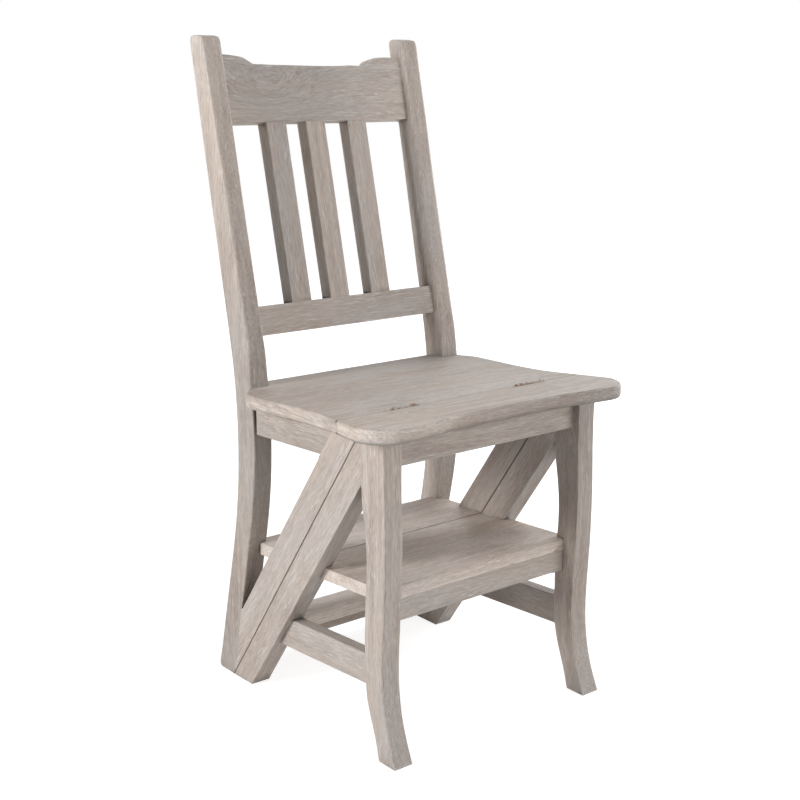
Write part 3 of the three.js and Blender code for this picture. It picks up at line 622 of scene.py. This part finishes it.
def fill_out_edge(bm):
    """Gives the seat's edge its small upper and larger lower rounding."""
    back = square_to(0.0)
    places = {}
    for vert in bm.verts:
        away = vert.co - AXIS_PLACE
        places[vert] = (Vector((away.x, away.dot(back))), above_middle(vert.co))
    ring_level = SEAT_HALF_THICKNESS - PLAIN_EDGE_RADIUS
    ring = []
    for edge in bm.edges:
        (start, low), (end, high) = places[edge.verts[0]], places[edge.verts[1]]
        by_hinge = abs(start.x) < HINGED_LENGTH and abs(start.y) < HINGED_DEPTH
        off_level = max(abs(low - ring_level), abs(high - ring_level))
        if not by_hinge and off_level < ON_THE_RING:
            ring.append((start, end))
    for vert in bm.verts:
        place, level = places[vert]
        away = way_to_ring(place, ring)
        off_edge = abs(away.length - edge_inset(level, PLAIN_EDGE_RADIUS))
        if away.length >= NEGLIGIBLE and off_edge <= ON_THE_EDGE:
            radius = EDGE_TOP_RADIUS if level > 0 else EDGE_FOOT_RADIUS
            step = away.normalized() * (away.length - edge_inset(level, radius))
            vert.co += RIGHTWARDS * step.x + back * step.y


def edge_gap(edge, others):
    """How near the next piece is to an outer arris, or nothing for any other edge."""
    if len(edge.link_faces) != 2 or not edge.is_convex:
        return None
    first, second = edge.link_faces
    if first.normal.angle(second.normal, 0.0) < SHARP_ANGLE:
        return None
    outward = (first.normal + second.normal).normalized()
    start, end = edge.verts
    return min(
        gap_at(start.co.lerp(end.co, share) + outward * TOUCH, others, NEAR)
        for share in ARRIS_PROBES)


def edge_share(name, gap):
    """How much of the widest rounding an arris has from its bevel: none in a closed joint,
    at the seat or on a curved piece, and little at a cut."""
    if gap is None or gap < TOUCH or name in SEAT_BOARDS:
        return 0.0
    if gap < TIGHT:
        return TIGHT_SHARE
    if name.startswith(CURVED_PIECES):
        return 0.0
    return SLAT_SHARE if name.startswith("back_slat") else BOARD_SHARE


def mark_arrises(name, bm, others):
    """Gives the edges their share of the bevel, and marks those that stay sharp."""
    bm.normal_update()
    weights = bm.edges.layers.float.new("bevel_weight_edge")
    for edge in bm.edges:
        gap = edge_gap(edge, others)
        edge[weights] = edge_share(name, gap)
        seat_arris = name in SEAT_BOARDS and gap is not None and gap > TIGHT
        blunt = edge.calc_face_angle(0.0) < SHARP_ANGLE
        edge.smooth = edge[weights] > 0 or seat_arris or blunt


def outline_radius(name, place, outward, inner, gap):
    """The rounding of a curved piece's arris at a place."""
    if gap < TOUCH:
        return 0.0
    if gap < TIGHT:
        return ROUNDEST * TIGHT_SHARE
    front, back = POST_SHARES if name.startswith("rear_post") else LEG_SHARES
    facing_front = outward.dot(-square_to(0.0)) > OUTLINE_LEAN
    share = along_table(front if facing_front else back, place.z)
    return ROUNDEST * (share * INNER_SHARE if inner else share)


def round_outline(name, bm, others):
    """Rounds the arrises of a post or a leg, which follow its curved outline on both sides."""
    left, right = sides_of(bm)
    for side, inward in ((left, 1.0), (right, -1.0)):
        for cut in ROUNDING_CUTS:
            cut_ring(bm, RIGHTWARDS * (side + inward * cut), RIGHTWARDS)
    bm.normal_update()
    moves = []
    for vert in bm.verts:
        outline = [face.normal for face in vert.link_faces if abs(face.normal.x) < OUTLINE_LEAN]
        if not outline:
            continue
        outward = sum(outline, Vector())
        outward.x = 0.0
        outward.normalize()
        side = left if vert.co.x - left < right - vert.co.x else right
        depth = abs(vert.co.x - side)
        sideways = RIGHTWARDS if side == right else -RIGHTWARDS
        arris = Vector((side, vert.co.y, vert.co.z))
        gap = gap_at(arris + (outward + sideways).normalized() * TOUCH, others, NEAR)
        inner = abs(side) < abs(left + right) / 2
        radius = outline_radius(name, vert.co, outward, inner, gap)
        if depth < radius:
            inset = radius - math.sqrt(radius ** 2 - (radius - depth) ** 2)
            moves.append((vert, outward * -inset))
    for vert, move in moves:
        vert.co += move
    bm.normal_update()
    for edge in bm.edges:
        edge.smooth = edge.calc_face_angle(0.0) < SHARP_ANGLE


def close_joints(name, bm, others):
    """Brings the touching faces of a fixed joint together, and the seat's halves nearly so."""
    if name in SEAT_BOARDS:
        back = square_to(0.0)
        for vert in bm.verts:
            distance = (vert.co - AXIS_PLACE).dot(back)
            if abs(distance) < ON_THE_SEAM:
                vert.co -= back * math.copysign(SEAT_CLOSE_UP, distance)
    moves = {}
    for face in bm.faces:
        place = face.calc_center_median() + face.normal * TOUCH / 3
        if gap_at(place, others, TOUCH) < TOUCH / 2:
            for vert in face.verts:
                known = moves.setdefault(vert, [])
                if all(face.normal.dot(normal) < SAME_WAY for normal in known):
                    known.append(face.normal.copy())
    for vert, normals in moves.items():
        for normal in normals:
            vert.co += normal * CLOSE_UP


def refine(name, bm):
    """Small departures of the real piece from its plain form."""
    if name.startswith("rear_post"):
        forward = -square_to(BACK_RAKE)
        front = {
            vert for face in bm.faces if face.normal.dot(forward) > FACING_FORWARD
            for vert in face.verts}
        for vert in bm.verts:
            lift = along_table(POST_LIFT, vert.co.z)
            if vert in front:
                vert.co += forward * along_table(POST_FORWARD, vert.co.z)
            vert.co += up_the(BACK_RAKE) * lift
    for start, factor in WIDENINGS:
        if name.startswith(start):
            middle = sum(sides_of(bm)) / 2
            for vert in bm.verts:
                out = RIGHT_LEG_OUT if name == "front_leg_right" and vert.co.x > middle else 0.0
                vert.co.x = middle + (vert.co.x - middle) * factor + out
    if name == "crest_rail":
        for vert in bm.verts:
            if vert.co.z > CREST_TOP:
                vert.co.z += along_table(CREST_LIFTS, vert.co.x)


def seam_and_shade_at(name, place):
    """Distance from the cut that a piece lies along, if it lies along one, and how dark it
    is. The front apron's is the painted shade under the seat's edge."""
    if name.startswith(STRINGERS):
        return (place - JOINT_PLACE).dot(square_to(-JOINT_RAKE)), STRINGER_SEAM_DARKNESS
    if name in MIDDLE_BOARDS:
        return (place - JOINT_PLACE).dot(square_to(-JOINT_RAKE)), BOARD_SEAM_DARKNESS
    if name in SEAT_BOARDS:
        darkness = along_table(SEAT_SEAM_DARKNESS, place.x)
        return (place - AXIS_PLACE).dot(square_to(0.0)), darkness
    # Painted shade under the seat's edge, drawn as a wide cut line
    if name == "front_apron":
        below = above_middle(place) + SEAT_HALF_THICKNESS
        return below / APRON_SHADE_WIDENING, APRON_SHADE_DARKNESS
    return FAR_OFF, 0.0


def on_cut(name, normal):
    """Whether a face lies in the cut between the halves."""
    rake = 0.0 if name in SEAT_BOARDS else -JOINT_RAKE
    return name.startswith(CUT_PIECES) and abs(normal.dot(square_to(rake))) > SAME_WAY


def write_attributes(name, mesh, joined, chance):
    """Writes what the wood's material reads from a piece. Arrises in joints are given by
    their vertices."""
    direction = grain_direction(name)
    lies_in_x = direction == RIGHTWARDS
    side = UPWARDS if lies_in_x else RIGHTWARDS
    flat = direction.cross(side).normalized()
    shift = Vector([chance.uniform(-reach, reach) for reach in GRAIN_SHIFT])
    # The piece's tones, partly its own and partly painted light and shade
    tones_and_light = TONES_AND_PAINTED_LIGHT.get(name, PLAIN_TONES)
    tones_and_light = tuple((step / (len(tones_and_light) - 1), tone_and_light) for step, tone_and_light in enumerate(tones_and_light))
    swirl = SWIRLS.get(name)
    heights = [vert.co.dot(direction) for vert in mesh.vertices]
    low, high = min(heights), max(heights)
    for attribute in ("grain", "figure", "cut"):
        mesh.attributes.new(attribute, "FLOAT_VECTOR", "POINT")
    for index, vert in enumerate(mesh.vertices):
        co = vert.co
        grain = Vector((co.dot(direction), co.dot(side), co.dot(flat))) + shift
        tone_and_light = along_table(tones_and_light, (heights[index] - low) / (high - low))
        # Painted shade on the front board's edge
        if name == "seat_front_board":
            tone_and_light *= along_table(EDGE_PAINTED_SHADE, above_middle(co))
        away = (co.x - swirl[0], co.z - swirl[1]) if swirl else (FAR_OFF, FAR_OFF)
        free = 0.0 if index in joined else 1.0 if lies_in_x else -1.0
        mesh.attributes["grain"].data[index].vector = grain
        mesh.attributes["figure"].data[index].vector = Vector((*away, tone_and_light))
        mesh.attributes["cut"].data[index].vector = Vector((*seam_and_shade_at(name, co), free))
    mesh.attributes.new("outside", "FLOAT", "FACE")
    for index, face in enumerate(mesh.polygons):
        outside = 0.0 if on_cut(name, face.normal) else 1.0
        mesh.attributes["outside"].data[index].value = outside


def dress(name, trees, material, chance):
    """Makes the visible piece of a wooden node."""
    others = [entry for other, entry in trees.items() if other != name]
    bm = cleaned(frame["nodes"][name])
    slice_along(bm, grain_direction(name))
    if name in SEAT_BOARDS:
        fill_out_edge(bm)
    mark_arrises(name, bm, others)
    if name.startswith(CURVED_PIECES):
        round_outline(name, bm, others)
    bm.verts.index_update()
    joined = {vert.index for edge in bm.edges if not edge.smooth for vert in edge.verts}
    close_joints(name, bm, others)
    refine(name, bm)
    for face in bm.faces:
        face.smooth = True
    mesh = bpy.data.meshes.new(name + "_dressed")
    bm.to_mesh(mesh)
    bm.free()
    write_attributes(name, mesh, joined, chance)
    mesh.materials.append(material)

    piece = bpy.data.objects.new(name + "_dressed", mesh)
    bpy.context.scene.collection.objects.link(piece)
    bevel = piece.modifiers.new("arrises", "BEVEL")
    bevel.limit_method = "WEIGHT"
    bevel.width = ROUNDEST
    bevel.segments = BEVEL_SEGMENTS
    normals = piece.modifiers.new("normals", "WEIGHTED_NORMAL")
    normals.weight = FACE_WEIGHT
    normals.keep_sharp = True
    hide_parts(name)
    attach(piece, BODY_OF[name])


add_camera()
add_stage()
for light in LIGHTS:
    add_light(*light)

wood = washed_wood()
metal = hinge_metal()
trees = neighbours()
for number, name in enumerate(WOOD_NODES):
    dress(name, trees, wood, random.Random(SEED + number))
for name in METAL_NODES:
    materials = frame["nodes"][name].data.materials
    materials.clear()
    materials.append(metal)

bpy.context.scene.view_settings.view_transform = "Standard"
